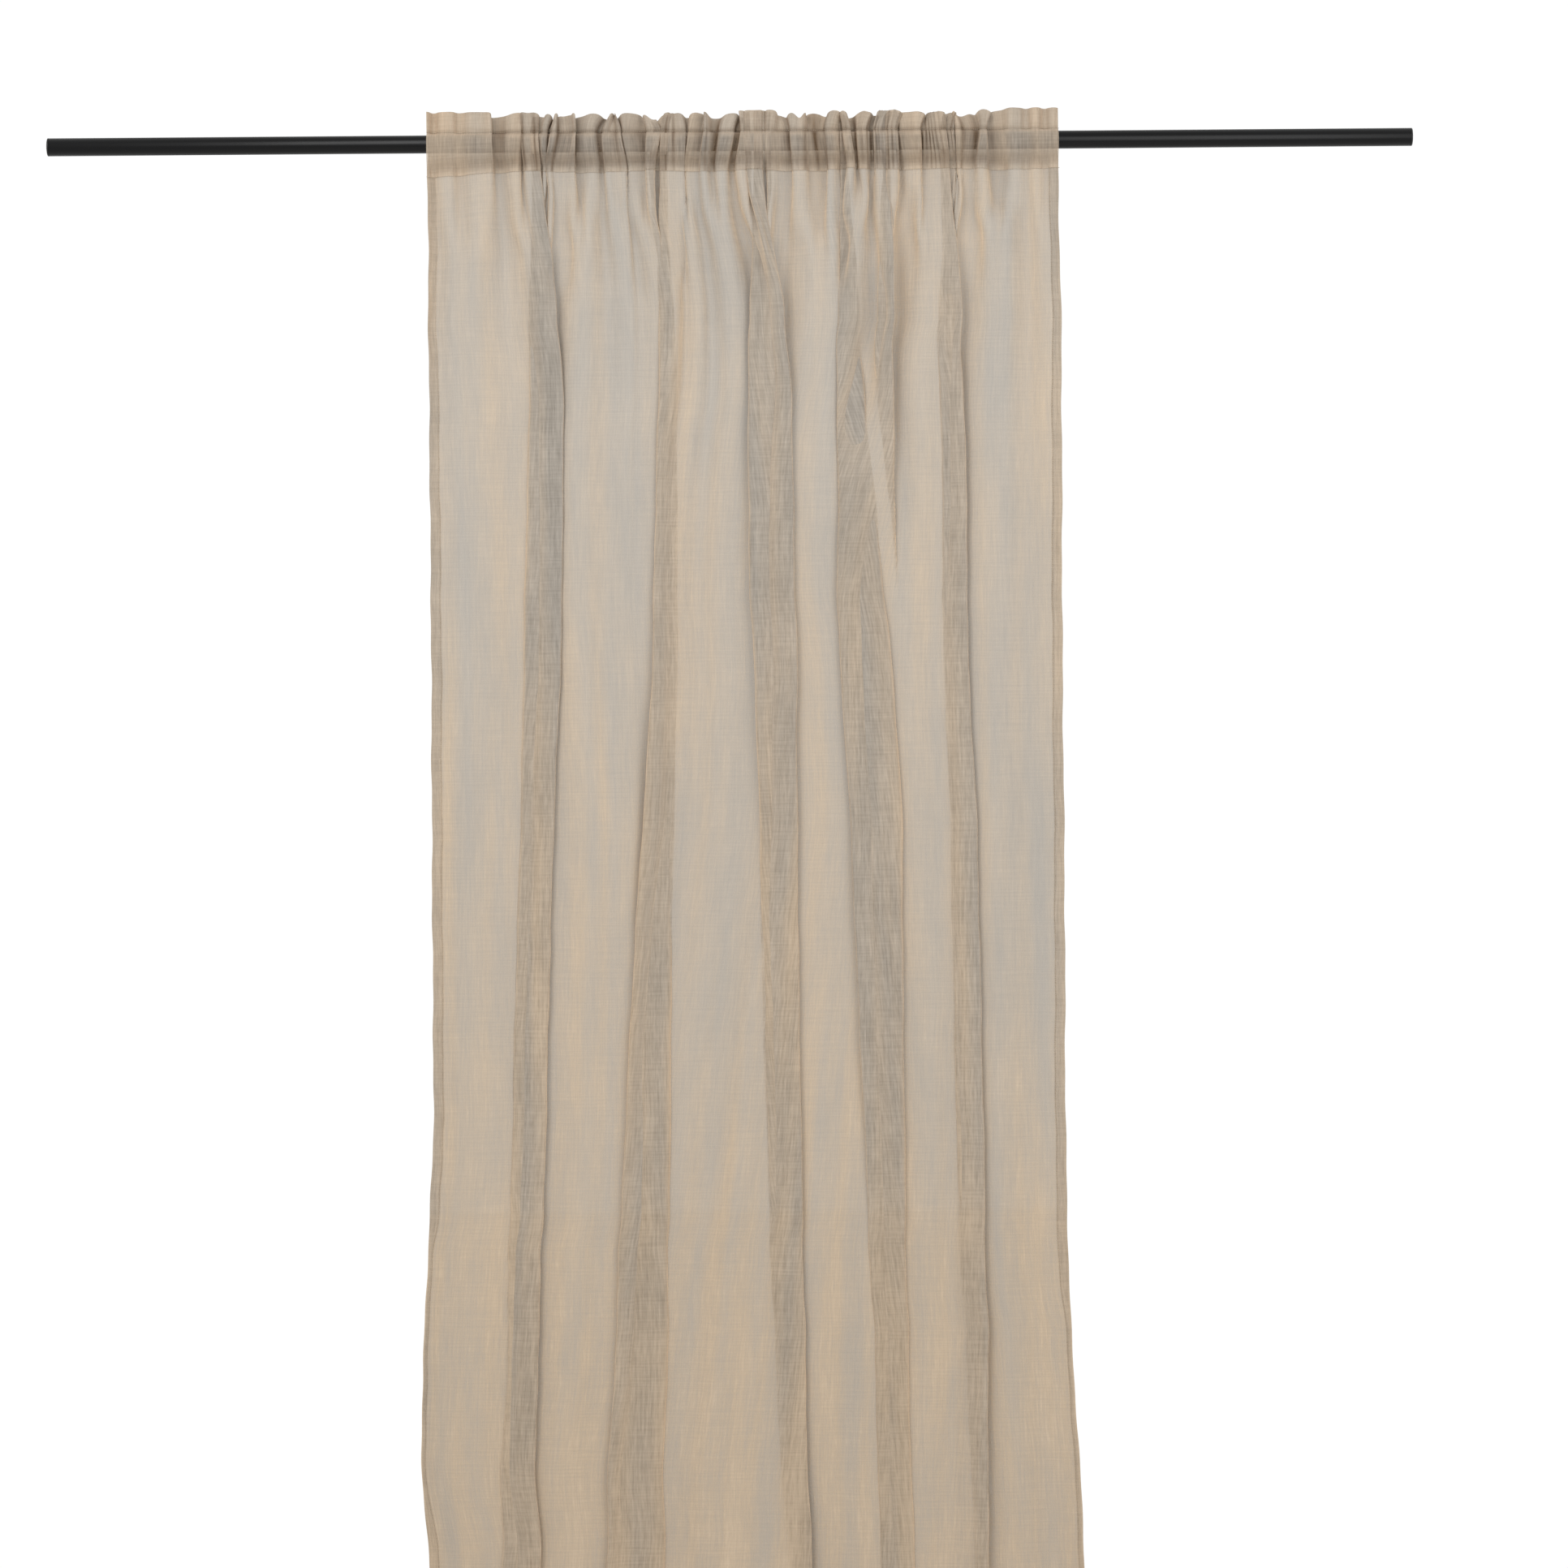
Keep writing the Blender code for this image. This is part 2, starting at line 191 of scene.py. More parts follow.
def settle(z, centres):
    """How slack the cloth is at z, and where its folds lie along it, for it to hang as wide as it should."""
    width = right_edge(z) - left_edge(z)
    targets = np.array([middle(z) for middle in fold_middles])
    centres = np.array(centres)
    low, high = -0.6, 1.8
    for turn in range(14):
        if turn:
            low, high = slack - 0.5 / turn, slack + 0.5 / turn
        for _ in range(12):
            slack = (low + high) / 2
            x = walk_slack(z, slack, centres)[1]
            low, high = (slack, high) if x[-1] > width else (low, slack)
        found = np.interp(centres, ALONG, x) + left_edge(z)
        moved = centres + 0.55 * (targets - found) / max(0.5, width / WIDTH + 0.2)
        centres = np.clip(moved, 0.03, WIDTH - 0.03)
    return [slack, *centres]


# From this height down the long folds are fully formed, and they are settled at a few heights.
FORMED_Z = -0.25
knots = [
    FORMED_Z, -0.31, -0.37, -0.45, -0.54, -0.66, -0.80, -0.95, -1.10, -1.27, -1.45, -1.6, -1.75,
    -1.9, -2.05, -2.2, -2.33, FOOT_Z,
]
guess = [(middle(FORMED_Z) + 0.423) / 0.882 * WIDTH for middle in fold_middles]
settled = []
for z in knots:
    settled.append(settle(z, guess))
    guess = settled[-1][1:]
settled_grid = np.arange(-2.7, 0.2, 0.01)
settled_curves = []
for line in np.array(settled)[::-1].T:
    line = np.interp(settled_grid, knots[::-1], line)
    for _ in range(3):
        line = averaged(line, 7)
    settled_curves.append(line)


def settled_at(z):
    """The slack and the folds' places at any height."""
    slack, *centres = [float(np.interp(z, settled_grid, line)) for line in settled_curves]
    return slack, centres


def eased(values, size):
    """Averages along the cloth, three times over this width."""
    width = int(size / STEP) | 1
    for _ in range(3):
        total = np.cumsum(np.concatenate([[0.0], np.pad(values, width // 2, mode="reflect")]))
        values = (total[width:] - total[:-width]) / width
    return values


def fitted(z, bearing, x, y, centres, overlaps):
    """The line at z stretched by a hair to hang exactly between its edges."""
    low = left_edge(z) + 0.0006 * math.sin(31 * z) + 0.0004 * math.sin(83 * z + 1)
    high = right_edge(z) + 0.0006 * math.sin(27 * z + 2) + 0.0004 * math.sin(71 * z)
    return bearing, low + x * (high - low) / x[-1], y - eased(y, 0.085), centres, overlaps


# Between the pocket seam and the formed folds, the cloth's spacing goes over from the rod's to the folds'.
# The panel's two ends are pushed along the rod less tightly than its middle.
seam_width = right_edge(POCKET_SEAM_Z) - left_edge(POCKET_SEAM_Z)
formed_slack, formed_centres = settled_at(FORMED_Z)
formed = walk_slack(FORMED_Z, formed_slack, formed_centres)
formed_slope = eased(np.cos(formed[0]), PLEAT)
formed_x = eased(formed[1] * (right_edge(FORMED_Z) - left_edge(FORMED_Z)) / formed[1][-1], PLEAT)
FLAT_SLOPE = 0.95
flat = 1 - smooth((ALONG - 0.070) / 0.06) * smooth((WIDTH - 0.060 - ALONG) / 0.06)
tight = (seam_width - FLAT_SLOPE * np.sum(flat) * STEP) / np.sum(1 - flat) / STEP
even_slope = 0.35 * eased(tight + (FLAT_SLOPE - tight) * flat, 0.02)
even_slope = even_slope + 0.65 * eased(np.clip(formed_slope, 0.15, 1), 0.03)
even_slope *= seam_width / (np.sum(even_slope) * STEP)
even_x = eased(np.cumsum(even_slope) * STEP, PLEAT)
seam_middles = [middle(POCKET_SEAM_Z) - left_edge(POCKET_SEAM_Z) for middle in fold_middles]
even_centres = [float(np.interp(middle, even_x, ALONG)) for middle in seam_middles]


def hang(z, amount):
    """The cloth's line at z, and how much each part of it gathers there, starting from the amount just below.

    Above the formed folds each part of the cloth gathers as much as the folds below it take up.
    """
    slack, centres = settled_at(z)
    if z <= FORMED_Z:
        return fitted(z, *walk_slack(z, slack, centres)), amount
    overlaps = [overlap(z) * (1 + min(slack, 0.0)) for overlap in fold_overlaps]
    formed_share = float(smooth((POCKET_SEAM_Z - z) / (POCKET_SEAM_Z - FORMED_Z)))
    slope = even_slope + (formed_slope - even_slope) * formed_share
    place = even_x + (formed_x - even_x) * formed_share
    centres = [even + (low - even) * formed_share for even, low in zip(even_centres, formed_centres)]
    for _ in range(14):
        bearing, x, y = walk(z, amount, centres, overlaps)
        amount = np.clip(amount + 1.3 * (eased(np.cos(bearing), PLEAT) - slope), 0.05, 2.4)
    blended = amount + (LEAST + max(slack, 0.0) - amount) * float(smooth((formed_share - 0.8) / 0.2))
    bearing, x, y = walk(z, blended, centres, overlaps)
    x = x + place - eased(x, PLEAT)
    return fitted(z, bearing, x - x[0], y, centres, overlaps), amount


def sag(along, z):
    """The pocket seam dips towards the left edge, and the cloth near it follows."""
    dip = 0.0065 * smooth(1 - along / 0.11) + 0.0012 * np.sin(along * 23.0)
    return z - dip * float(smooth((0.010 - z) / 0.049) * smooth((z + 0.30) / 0.26))


def columns_for(centres, overlaps, count):
    """Places along the cloth for the mesh's columns, closer together where a fold turns."""
    density = np.full_like(ALONG, 1.0)
    for (_, right_turn, left_turn, _), centre, overlap in zip(FOLDS, centres, overlaps):
        strength = 2.6 * smooth(overlap / 0.02)
        density += strength * np.exp(-(((ALONG - centre + overlap / 2) / (0.7 * right_turn)) ** 2))
        density += strength * np.exp(-(((ALONG - centre - overlap / 2) / (0.7 * left_turn)) ** 2))
    total = np.concatenate([[0.0], np.cumsum((density[1:] + density[:-1]) / 2)])
    return np.interp(np.linspace(0, total[-1], count), total, ALONG)


# Rows are closest together under the pocket seam, and the lines are worked out from the foot upwards.
DROP_COLUMNS = 452
heights = [POCKET_SEAM_Z]
while heights[-1] > FOOT_Z + 0.002:
    fallen = POCKET_SEAM_Z - heights[-1]
    heights.append(max(FOOT_Z, heights[-1] - (0.0045 + 0.0085 * float(smooth(fallen / 0.4)))))
hanging = {}
amount = np.full_like(ALONG, LEAST + max(formed_slack, 0.0))
for z in sorted(heights, key=lambda h: (h > FORMED_Z, h)):
    hanging[z], amount = hang(z, amount)
drop_rows, drop_places, drop_lines, drop_painted_shade = [], [], [], []
for z in heights:
    bearing, x, y, centres, overlaps = hanging[z]
    places = columns_for(centres, overlaps, DROP_COLUMNS)
    drop_places.append(places)
    row = [np.interp(places, ALONG, x), np.interp(places, ALONG, y), sag(places, z)]
    drop_rows.append(np.stack(row, axis=1))
    drop_lines.append((x, y, bearing))
    # Painted shade: cloth lying back in a trough is darkened, most just under the pocket seam.
    shade_paint = smooth(0.35 + np.interp(places, ALONG, y - eased(y, 0.035)) / 0.014)
    drop_painted_shade.append(shade_paint * (0.02 + 0.26 * math.exp(-(POCKET_SEAM_Z - z) / 0.05)))
seam_x, seam_y, seam_bearing = drop_lines[0]

# ---- Looks of the cloth ----
# Slubby plain weave: thick and thin yarns run down it, a few across, and light comes through between them.
# Its colour turns a little warmer towards the foot, and changes faintly at one crease from its packing.


def new_material(name):
    material = bpy.data.materials.new(name)
    material.use_nodes = True
    material.node_tree.nodes.clear()
    return material, material.node_tree


def add_node(tree, kind, inputs=(), **settings):
    """A node with its inputs linked or set, and its own settings."""
    node = tree.nodes.new(kind)
    for key, value in settings.items():
        setattr(node, key, value)
    for key, value in dict(inputs).items():
        if isinstance(value, bpy.types.NodeSocket):
            tree.links.new(value, node.inputs[key])
        else:
            node.inputs[key].default_value = value
    return node


def math_node(tree, operation, *values, clamp=False):
    settings = {"operation": operation, "use_clamp": clamp}
    return add_node(tree, "ShaderNodeMath", enumerate(values), **settings).outputs[0]


def map_range(tree, value, source, target):
    limits = {"From Min": source[0], "From Max": source[1], "To Min": target[0], "To Max": target[1]}
    return add_node(tree, "ShaderNodeMapRange", {"Value": value, **limits}).outputs[0]


def mixed(tree, share, first, second):
    """A colour between two colours."""
    return add_node(tree, "ShaderNodeMix", {0: share, 6: first, 7: second}, data_type="RGBA").outputs[2]


def shaded(colour, factors):
    return (*(c * f for c, f in zip(colour, factors)), 1)


weave = bpy.data.node_groups.new("linen_weave", "ShaderNodeTree")
for name in ("Tone", "Open", "Warm", "Height"):
    weave.interface.new_socket(name=name, in_out="OUTPUT", socket_type="NodeSocketFloat")
uv = add_node(weave, "ShaderNodeUVMap", uv_map="cloth").outputs["UV"]


def yarns(scale, detail=2.0, offset=0.0):
    """Noise stretched along one set of yarns, from about -1 to 1."""
    moved = {"Vector": uv, "Location": (offset, offset, 0.0), "Scale": (*scale, 1.0)}
    place = add_node(weave, "ShaderNodeMapping", moved).outputs[0]
    grain = {"Vector": place, "Scale": 1.0, "Detail": detail, "Roughness": 0.55}
    noise = add_node(weave, "ShaderNodeTexNoise", grain).outputs["Fac"]
    return map_range(weave, noise, (0.25, 0.75), (-1.0, 1.0))


def weighted(*terms):
    """The sum of outputs, each times its weight."""
    total = None
    for value, weight in terms:
        part = math_node(weave, "MULTIPLY", value, weight)
        total = part if total is None else math_node(weave, "ADD", total, part)
    return total


slub_down = yarns((330.0, 16.0), offset=3.1)
slub_thin = yarns((700.0, 60.0), offset=7.7)
slub_across = yarns((14.0, 380.0), offset=11.3)
patches = yarns((22.0, 5.0), detail=3.0, offset=17.9)
bands = yarns((9.0, 0.8), detail=1.0, offset=23.5)
streaks = yarns((30.0, 1.2), detail=1.0, offset=27.0)
crinkle = yarns((60.0, 45.0), detail=3.0, offset=31.0)
down = add_node(weave, "ShaderNodeSeparateXYZ", {0: uv}).outputs[1]
creased = map_range(weave, down, (1.452, 1.462), (0.0, 1.0))
lower = map_range(weave, down, (0.3, 2.2), (0.0, 1.0))
add_node(weave, "NodeGroupOutput", {
    "Tone": weighted(
        (slub_down, 0.55), (slub_thin, 0.35), (slub_across, 0.30), (patches, 0.42),
        (streaks, 0.30), (bands, 0.22), (creased, -0.10), (lower, -0.06)),
    "Open": weighted(
        (slub_down, 0.5), (slub_thin, 0.4), (slub_across, 0.25), (patches, 0.3),
        (streaks, 0.22), (lower, 0.66)),
    "Warm": weighted((bands, 0.6), (streaks, 0.7), (patches, 0.3), (creased, 0.25), (lower, 1.2)),
    "Height": weighted((slub_down, 0.5), (slub_thin, 0.3), (slub_across, 0.4), (crinkle, 0.9)),
})

# What the yarns' colour is multiplied by where it is warmest and greyest, and the dark brown it is painted
# towards as painted shade deep in a pleat.
REDDER, GREYER, PAINTED_SHADE = (1.07, 0.98, 0.86), (0.96, 1.00, 1.05), (0.34, 0.26, 0.19)


def cloth_material(name, colour, cover, tint, edge_light):
    """Sheer cloth: yarns that scatter light both ways, the gaps between them, a painted highlight that
    lightens and warms it where seen edge on, and painted shade from the pleat-shade attribute.
    """
    material, tree = new_material(name)
    pattern = add_node(tree, "ShaderNodeGroup", node_tree=weave).outputs
    facing = add_node(tree, "ShaderNodeLayerWeight", {"Blend": 0.5}).outputs["Facing"]
    warm = math_node(tree, "MULTIPLY_ADD", pattern["Warm"], 0.5, 0.30, clamp=True)
    base = mixed(tree, warm, shaded(colour, GREYER), shaded(colour, REDDER))
    # Painted highlight: seen edge on, the colour goes over to a lighter, warmer copy, to offset the shade at
    # the fold edges.
    edge_light_share = math_node(tree, "MULTIPLY", math_node(tree, "POWER", facing, 1.6), 0.8)
    edge_lit = mixed(tree, edge_light_share, base, shaded(colour, edge_light))
    # Painted shade: the pleat-shade attribute darkens the colour towards a deep brown in the pleats' bottoms,
    # at the seam's pinch and under the rod.
    shade_paint = add_node(tree, "ShaderNodeAttribute", attribute_name="painted_pleat_shade").outputs["Fac"]
    with_painted_shade = mixed(tree, shade_paint, edge_lit, shaded(colour, PAINTED_SHADE))
    tone = math_node(tree, "MULTIPLY_ADD", pattern["Tone"], 0.22, 1.0)
    toned = add_node(tree, "ShaderNodeVectorMath", {0: with_painted_shade, "Scale": tone}, operation="SCALE").outputs[0]
    relief = {"Height": pattern["Height"], "Strength": 0.35, "Distance": 0.0006}
    bump = add_node(tree, "ShaderNodeBump", relief).outputs[0]
    front = add_node(tree, "ShaderNodeBsdfPrincipled", {
        "Base Color": toned, "Roughness": 0.9, "Specular IOR Level": 0.15, "Sheen Weight": 0.12,
        "Sheen Roughness": 0.5, "Normal": bump})
    through = add_node(tree, "ShaderNodeBsdfTranslucent", {"Color": toned, "Normal": bump})
    yarn = add_node(tree, "ShaderNodeMixShader", {0: 0.20, 1: front.outputs[0], 2: through.outputs[0]})
    gap = math_node(tree, "MULTIPLY_ADD", pattern["Open"], -0.10, 1.0 - cover)
    gap = math_node(tree, "MAXIMUM", gap, 0.01)
    cosine = math_node(tree, "MAXIMUM", math_node(tree, "SUBTRACT", 1.0, facing), 0.14)
    seen = math_node(tree, "POWER", gap, math_node(tree, "DIVIDE", 1.0, cosine))
    clear = add_node(tree, "ShaderNodeBsdfTransparent", {"Color": (*tint, 1)})
    surface = add_node(tree, "ShaderNodeMixShader", {0: seen, 1: yarn.outputs[0], 2: clear.outputs[0]})
    add_node(tree, "ShaderNodeOutputMaterial", {"Surface": surface.outputs[0]})
    return material


# Painted highlight: how much lighter and warmer the cloth is painted where it is seen edge on.
PAINTED_EDGE_LIGHT = (2.15, 1.92, 1.62)
linen = cloth_material("sheer_linen", (0.444, 0.384, 0.316), 0.915, (1.0, 0.97, 0.92), PAINTED_EDGE_LIGHT)
# The hems are the same linen painted a little darker and warmer, as painted shade on the turned-back strips.
linen_turned = cloth_material("turned_linen", (0.43, 0.358, 0.282), 0.74, (1.0, 0.95, 0.87), PAINTED_EDGE_LIGHT)
# The heading is the same linen painted lighter, as painted light that offsets the painted shade in its
# pleats, with a weaker painted highlight on its edges.
linen_heading = cloth_material(
    "gathered_linen", (0.490, 0.414, 0.334), 0.67, (1.0, 0.94, 0.85), (1.20, 1.08, 0.94))


def linked(name, mesh):
    """An object for the mesh, put into the scene."""
    piece = bpy.data.objects.new(name, mesh)
    bpy.context.scene.collection.objects.link(piece)
    return piece


def cloth_piece(name, rows, places, depths, material, painted_shades=None):
    """A sheet with its cloth coordinates in metres as its UV map, and, where given, how much painted shade
    each point gets in a pleat.
    """
    high, across = len(rows), len(rows[0])
    index = np.arange(high * across).reshape(high, across)
    faces = np.stack([index[1:, :-1], index[1:, 1:], index[:-1, 1:], index[:-1, :-1]], axis=-1).reshape(-1, 4)
    mesh = bpy.data.meshes.new(name)
    mesh.from_pydata(np.concatenate(rows).tolist(), [], faces.tolist())
    layer = mesh.uv_layers.new(name="cloth")
    grid = np.stack([np.stack(places).reshape(-1), np.repeat(depths, across)], axis=1)
    corners = np.empty(len(mesh.loops), dtype=np.int32)
    mesh.loops.foreach_get("vertex_index", corners)
    layer.data.foreach_set("uv", grid[corners].astype(np.float32).reshape(-1))
    if painted_shades is not None:
        # Painted shade per point, read by the cloth material to darken its colour.
        shade_paint = mesh.attributes.new("painted_pleat_shade", "FLOAT", "POINT")
        shade_paint.data.foreach_set("value", np.concatenate(painted_shades).astype(np.float32))
    mesh.shade_smooth()
    mesh.materials.append(material)
    return linked(name, mesh)


# The CAD nodes of the cloth are numbered by bay, the stretches between its folds.
BAYS = range(1, 6)
# Where the hems and the heading start in the weave, so that it doesn't repeat on them.
SIDE_HEM_SHIFT, FOOT_HEM_SHIFT, HEAD_SHIFT = 0.3, 0.4, -0.25


def gathers_up(piece):
    """The piece rides on the panel's trailing edge and gets a mesh of its own."""
    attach(piece, "trailing_edge")
    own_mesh(piece)


depths = [POCKET_SEAM_Z - z for z in heights]
drop = cloth_piece("drop", drop_rows, drop_places, depths, linen, drop_painted_shade)
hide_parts(*[f"drop_{k}" for k in BAYS])
gathers_up(drop)

# ---- Hems ----
# The cloth turned to the back and stitched: narrow down both sides, deeper along the foot.
# Each is a strip just behind the hanging cloth, short of its raw edges by a hair.
HEM_BACK, HEM_SHORT = 0.0006, 0.0002
FOOT_SHORT, FOOT_LIFT = 0.0003, 0.0002
SIDE_HEM_COLUMNS, FOOT_HEM_COLUMNS = 9, 620


def beside(x, y, bearing, out):
    """The line moved off the cloth: towards the room when out is negative."""
    return x - np.sin(bearing) * out, y + np.cos(bearing) * out


def hem_rows(lines, zs, low, high, count):
    """A strip that lies just behind the hanging cloth between two places along it."""
    here = np.linspace(low, high, count)
    rows = []
    for line, z in zip(lines, zs):
        x, y = beside(*(np.interp(here, ALONG, values) for values in line), HEM_BACK)
        rows.append(np.stack([x, y, sag(here, z)], axis=1))
    return rows, here


for side, low, high in (("left", HEM_SHORT, SIDE_HEM), ("right", WIDTH - SIDE_HEM, WIDTH - HEM_SHORT)):
    rows, here = hem_rows(drop_lines, heights, low, high, SIDE_HEM_COLUMNS)
    hem = cloth_piece(f"{side}_hem", rows, [here + SIDE_HEM_SHIFT] * len(rows), depths, linen_turned)
    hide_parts(f"side_hem_{side}")
    gathers_up(hem)
foot = [i for i, z in enumerate(heights) if z <= FOOT_Z + FOOT_HEM + 0.008]
foot_z = [min(heights[i], FOOT_Z + FOOT_HEM) + FOOT_LIFT for i in foot]
foot_lines = [drop_lines[i] for i in foot]
rows, here = hem_rows(foot_lines, foot_z, FOOT_SHORT, WIDTH - FOOT_SHORT, FOOT_HEM_COLUMNS)
foot_depths = [FOOT_HEM_SHIFT + z for z in foot_z]
foot_hem = cloth_piece("bottom_hem", rows, [here] * len(rows), foot_depths, linen_turned)
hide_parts(*[f"bottom_hem_{k}" for k in BAYS])
gathers_up(foot_hem)

# ---- Heading ----
# The top of the same cloth, doubled over into the rod pocket with a frill standing above it.
# It is drawn up tight on the rod, so its pleats crowd together and its frill flutes.
HEAD_COLUMNS, POCKET_ROWS, FRILL_ROWS = 760, 26, 12
ROD_RADIUS = 0.0125
ROD_CLEARANCE = 0.0011
here = np.linspace(0, WIDTH, HEAD_COLUMNS)


def here_from(line):
    """Values along the whole cloth, read at the heading's columns."""
    return np.interp(here, ALONG, line)


head_x, head_y = here_from(seam_x), here_from(seam_y)
pinched = 1.3 * (seam_y - eased(seam_y, 0.022))
pinched_y = here_from(pinched)
flute = np.tanh(pinched_y / 0.009) / math.tanh(1.0)
# One stretch of the heading, a little right of the middle, lies flat on the rod.
FLAT_X, FLAT_SIZE = 0.042, 0.026
lean = here_from(gather_calm) * (1 - 0.85 * np.exp(-(((head_x - FLAT_X) / FLAT_SIZE) ** 4)))
crowd = here_from(wander(0.030, 1.6, 43)) * lean * 0.006
fine_phase = 2 * math.pi * np.cumsum(STEP / (0.020 * (1 + wander(0.05, 0.9, 51))))
fine = here_from(np.sin(fine_phase) * np.clip(0.45 + wander(0.035, 1.6, 53), 0, 1))

# The frill's edge runs low where it curls over, and dips at three places: (x, depth, half width).
FRILL_DIPS = ((-0.109, 0.011, 0.007), (0.098, 0.009, 0.006), (0.330, 0.004, 0.006))
FRILL_LEAN = 0.0065
scallop = here_from(wander(0.035, 1.0, 31))
steep = here_from(eased(1 - np.cos(np.clip(seam_bearing, -1.5, 1.5)), 0.005))
frill_top = FRILL_TOP_Z - 0.001 - lean * (0.0045 * np.clip(steep, 0, 1) + 0.0035 * (1 + scallop) / 2)
frill_top -= lean * 0.0032 * (1 + flute)
for place, depth, spread in FRILL_DIPS:
    frill_top -= depth * np.exp(-(((head_x - place) / spread) ** 2))
frill_wave = here_from(wander(0.030, 1.6, 37))
frill_lean = here_from(wander(0.026, 1.6, 41)) * lean


def raised(side, z):
    """How far out each part of the pocket stands: thin ridges at the rod, wider towards the pocket seam."""
    up = float(np.clip((z - POCKET_SEAM_Z) / (TOP_SEAM_Z - POCKET_SEAM_Z), 0, 1))
    pleat = (0.5 + 0.5 * np.clip(side * flute, -1, 1)) ** (0.6 + 1.5 * up)
    return np.clip(pleat + 0.17 * fine * (0.4 + 0.6 * up), 0, 1.15)


def pocket_row(z, side):
    """The pocket's front (-1) or back (1) wall at a height: seams pinch it, the rod holds it open."""
    if z > 0:
        clear = (ROD_RADIUS + ROD_CLEARANCE) * math.sqrt(max(0.0, 1 - (z / TOP_SEAM_Z) ** 2)) + 0.0006
    else:
        clear = (ROD_RADIUS + ROD_CLEARANCE) * (1 - (z / POCKET_SEAM_Z) ** 2.2) + 0.0003
    opened = float(smooth((TOP_SEAM_Z - z) / 0.0042) * smooth((z - POCKET_SEAM_Z) / 0.026))
    puff = 0.0125 * float(smooth((TOP_SEAM_Z - z) / 0.012) * smooth((z - POCKET_SEAM_Z) / 0.020))
    out = clear + puff * lean * raised(side, z)
    x = head_x + crowd * float(smooth((z - POCKET_SEAM_Z) / (TOP_SEAM_Z - POCKET_SEAM_Z)))
    y = (1 - opened) * ((pinched_y if z > 0 else head_y) + side * 0.0004) + opened * side * out
    return np.stack([x, y, sag(here, z)], axis=1)


def frill_row(share, side, lift=0.0):
    """The frill's front or back layer, from its seam (0) to its top edge (1)."""
    apart = 0.0004 + 0.0022 * math.sin(math.pi * min(1.0, share) ** 0.7) * (1 - 0.25 * share)
    loop = 0.0155 * np.tanh(pinched_y / 0.0085) + lean * 0.0022 * fine
    x = head_x + crowd + frill_lean * FRILL_LEAN * share ** 1.6
    y = pinched_y + (loop + lean * frill_wave * 0.004 - pinched_y) * share + side * apart
    return np.stack([x, y, TOP_SEAM_Z + (frill_top - TOP_SEAM_Z) * share + lift], axis=1)


def painted_shade_at(side, z, strength):
    """How much painted shade one face of the heading gets: most in the bottoms of its pleats, at the seam's
    pinch and below the rod.
    """
    # Painted shade at the seam's pinch, under the rod, and in the pleats' creases and bottoms.
    pinch = 0.40 * math.exp(-(((z - TOP_SEAM_Z) / 0.0030) ** 2))
    under = 0.25 * float(smooth((-0.006 - z) / 0.010) * smooth((z - POCKET_SEAM_Z) / 0.010))
    crease = 0.55 * np.clip(-fine, 0, 1) ** 4 + 0.8 * np.abs(1 - raised(side, z)) ** 4
    return np.clip(lean * strength * crease + pinch * (0.35 + 0.65 * lean) + under, 0, 1)


# The sheet goes up the front wall, over the frill's edge and down the back wall.
FRILL_START = 0.08
head_rows, head_painted_shade = [], []
for z in np.linspace(POCKET_SEAM_Z, TOP_SEAM_Z, POCKET_ROWS):
    head_rows.append(pocket_row(z, -1))
    head_painted_shade.append(painted_shade_at(-1, z, 1.0))
for share in np.linspace(FRILL_START, 1.0, FRILL_ROWS):
    head_rows.append(frill_row(share, -1))
    head_painted_shade.append(painted_shade_at(-1, TOP_SEAM_Z + 0.028 * share, 0.95 - 0.45 * share))
head_rows.append(frill_row(1.0, 0, lift=0.0006))
head_painted_shade.append(painted_shade_at(-1, FRILL_TOP_Z, 0.4))
for share in np.linspace(1.0, FRILL_START, FRILL_ROWS):
    head_rows.append(frill_row(share, 1))
    head_painted_shade.append(painted_shade_at(1, TOP_SEAM_Z + 0.028 * share, 0.95 - 0.45 * share))
for z in np.linspace(TOP_SEAM_Z, POCKET_SEAM_Z, POCKET_ROWS):
    head_rows.append(pocket_row(z, 1))
    head_painted_shade.append(painted_shade_at(1, z, 0.95))
head_depths = []
walked = HEAD_SHIFT
for before, after in zip([head_rows[0]] + head_rows, head_rows):
    walked += float(np.median(np.hypot(after[:, 1] - before[:, 1], after[:, 2] - before[:, 2])))
    head_depths.append(walked)
head = cloth_piece("heading", head_rows, [here] * len(head_rows), head_depths, linen_heading, head_painted_shade)
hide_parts(*[f"{part}_{k}" for part in ("frill", "pocket_front", "pocket_back") for k in BAYS])
gathers_up(head)

# ---- Stitching ----
# Lockstitch in a thread of the cloth's colour, three millimetres to the stitch.
# Each stitch is a bead laid along its seam and turned by a hair at random.
PITCH, THREAD = 0.003, 0.0006
thread, tree = new_material("thread")
coords = add_node(tree, "ShaderNodeTexCoord").outputs["Object"]
twist = add_node(tree, "ShaderNodeTexNoise", {"Vector": coords, "Scale": 900.0, "Detail": 1.0}).outputs["Fac"]
shade = mixed(tree, twist, (0.30, 0.235, 0.165, 1), (0.42, 0.34, 0.25, 1))
strand = add_node(tree, "ShaderNodeBsdfPrincipled", {"Base Color": shade, "Roughness": 0.7})
add_node(tree, "ShaderNodeOutputMaterial", {"Surface": strand.outputs[0]})

